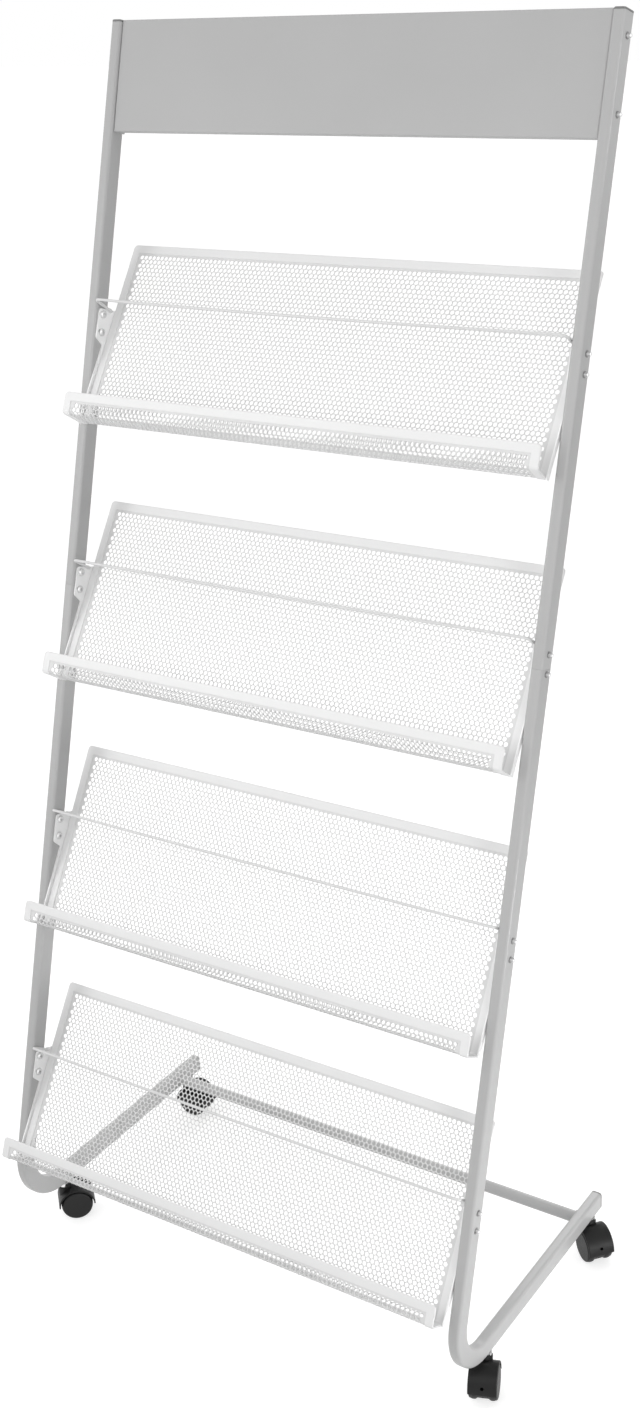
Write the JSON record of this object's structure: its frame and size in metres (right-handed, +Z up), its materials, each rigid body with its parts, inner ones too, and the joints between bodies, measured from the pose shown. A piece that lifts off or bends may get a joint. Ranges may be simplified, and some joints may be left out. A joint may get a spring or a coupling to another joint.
{
  "type": "periodical display rack",
  "caption": "Mobile display rack with leaning tube uprights, sloping perforated shelves with front lips and retainer wires, a header panel and twin-wheel swivel casters.",
  "frame": {"origin": "on the floor, midway between the side frames and midway along the depth", "axes": "+X to the right as seen from the front, +Y to the back, +Z up"},
  "size_m": [0.7491, 0.4899, 1.6019],
  "materials": {
    "tube_paint": "silver grey satin powder coat on steel tube",
    "header_paint": "silver grey satin powder coat on sheet steel",
    "mesh_paint": "pale silver satin powder coat on perforated sheet steel",
    "shelf_paint": "pale silver satin powder coat on folded sheet steel",
    "wire_paint": "pale silver satin powder coat on steel wire",
    "cap_plastic": "moulded mid-grey plastic",
    "bolt_steel": "zinc plated pan-head bolts with a cross recess",
    "nut_steel": "darkened rivet nuts",
    "plain_steel": "plain turned steel",
    "stem_chrome": "bright plated steel",
    "caster_plastic": "black moulded nylon",
    "wheel_plastic": "black moulded nylon"
  },
  "bodies": {
    "frame": {"lower_side_frame_left": "tube_paint", "upper_upright_left": "tube_paint", "joint_sleeve_left": "tube_paint", "upright_cap_left": "cap_plastic", "foot_cap_left": "cap_plastic", "lower_side_frame_right": "tube_paint", "upper_upright_right": "tube_paint", "joint_sleeve_right": "tube_paint", "upright_cap_right": "cap_plastic", "foot_cap_right": "cap_plastic", "rear_bar": "tube_paint", "header_panel": "header_paint", "header_bolts": "bolt_steel", "header_nuts": "nut_steel", "shelf_bolts": "bolt_steel", "shelf_nuts": "nut_steel", "shelf_1_mesh": "mesh_paint", "shelf_1_edging": "shelf_paint", "shelf_1_wire": "wire_paint", "shelf_1_bracket_left": "shelf_paint", "shelf_1_bracket_right": "shelf_paint", "shelf_2_mesh": "mesh_paint", "shelf_2_edging": "shelf_paint", "shelf_2_wire": "wire_paint", "shelf_2_bracket_left": "shelf_paint", "shelf_2_bracket_right": "shelf_paint", "shelf_3_mesh": "mesh_paint", "shelf_3_edging": "shelf_paint", "shelf_3_wire": "wire_paint", "shelf_3_bracket_left": "shelf_paint", "shelf_3_bracket_right": "shelf_paint", "shelf_4_mesh": "mesh_paint", "shelf_4_edging": "shelf_paint", "shelf_4_wire": "wire_paint", "shelf_4_bracket_left": "shelf_paint", "shelf_4_bracket_right": "shelf_paint", "caster_front_left_stem": "stem_chrome", "caster_front_right_stem": "stem_chrome", "caster_rear_left_stem": "stem_chrome", "caster_rear_right_stem": "stem_chrome", "caster_inserts": "plain_steel"},
    "caster_front_left": {"caster_front_left_housing": "caster_plastic", "caster_front_left_axle": "plain_steel"},
    "caster_front_left_wheel_left": {"caster_front_left_wheel_left": "wheel_plastic"},
    "caster_front_left_wheel_right": {"caster_front_left_wheel_right": "wheel_plastic"},
    "caster_front_right": {"caster_front_right_housing": "caster_plastic", "caster_front_right_axle": "plain_steel"},
    "caster_front_right_wheel_left": {"caster_front_right_wheel_left": "wheel_plastic"},
    "caster_front_right_wheel_right": {"caster_front_right_wheel_right": "wheel_plastic"},
    "caster_rear_left": {"caster_rear_left_housing": "caster_plastic", "caster_rear_left_axle": "plain_steel"},
    "caster_rear_left_wheel_left": {"caster_rear_left_wheel_left": "wheel_plastic"},
    "caster_rear_left_wheel_right": {"caster_rear_left_wheel_right": "wheel_plastic"},
    "caster_rear_right": {"caster_rear_right_housing": "caster_plastic", "caster_rear_right_axle": "plain_steel"},
    "caster_rear_right_wheel_left": {"caster_rear_right_wheel_left": "wheel_plastic"},
    "caster_rear_right_wheel_right": {"caster_rear_right_wheel_right": "wheel_plastic"}
  },
  "joints": [
    {"name": "caster_front_left_swivel", "type": "hinge", "parent": "frame", "child": "caster_front_left", "pos_m": [-0.343, -0.1288, 0.0505], "axis": [0, 0, 1], "continuous": true},
    {"name": "caster_front_left_wheel_left_spin", "type": "hinge", "parent": "caster_front_left", "child": "caster_front_left_wheel_left", "pos_m": [-0.33241, -0.11817, 0.0225], "axis": [-0.7083, 0.7059, 0], "continuous": true},
    {"name": "caster_front_left_wheel_right_spin", "type": "hinge", "parent": "caster_front_left", "child": "caster_front_left_wheel_right", "pos_m": [-0.33241, -0.11817, 0.0225], "axis": [-0.7083, 0.7059, 0], "continuous": true},
    {"name": "caster_front_right_swivel", "type": "hinge", "parent": "frame", "child": "caster_front_right", "pos_m": [0.343, -0.1288, 0.0505], "axis": [0, 0, 1], "continuous": true},
    {"name": "caster_front_right_wheel_left_spin", "type": "hinge", "parent": "caster_front_right", "child": "caster_front_right_wheel_left", "pos_m": [0.34835, -0.14281, 0.0225], "axis": [0.9342, 0.3567, 0], "continuous": true},
    {"name": "caster_front_right_wheel_right_spin", "type": "hinge", "parent": "caster_front_right", "child": "caster_front_right_wheel_right", "pos_m": [0.34835, -0.14281, 0.0225], "axis": [0.9342, 0.3567, 0], "continuous": true},
    {"name": "caster_rear_left_swivel", "type": "hinge", "parent": "frame", "child": "caster_rear_left", "pos_m": [-0.343, 0.168, 0.0505], "axis": [0, 0, 1], "continuous": true},
    {"name": "caster_rear_left_wheel_left_spin", "type": "hinge", "parent": "caster_rear_left", "child": "caster_rear_left_wheel_left", "pos_m": [-0.328, 0.168, 0.0225], "axis": [0, 1, 0], "continuous": true},
    {"name": "caster_rear_left_wheel_right_spin", "type": "hinge", "parent": "caster_rear_left", "child": "caster_rear_left_wheel_right", "pos_m": [-0.328, 0.168, 0.0225], "axis": [0, 1, 0], "continuous": true},
    {"name": "caster_rear_right_swivel", "type": "hinge", "parent": "frame", "child": "caster_rear_right", "pos_m": [0.343, 0.168, 0.0505], "axis": [0, 0, 1], "continuous": true},
    {"name": "caster_rear_right_wheel_left_spin", "type": "hinge", "parent": "caster_rear_right", "child": "caster_rear_right_wheel_left", "pos_m": [0.35467, 0.15858, 0.0225], "axis": [0.628, 0.7782, 0], "continuous": true},
    {"name": "caster_rear_right_wheel_right_spin", "type": "hinge", "parent": "caster_rear_right", "child": "caster_rear_right_wheel_right", "pos_m": [0.35467, 0.15858, 0.0225], "axis": [0.628, 0.7782, 0], "continuous": true}
  ]
}
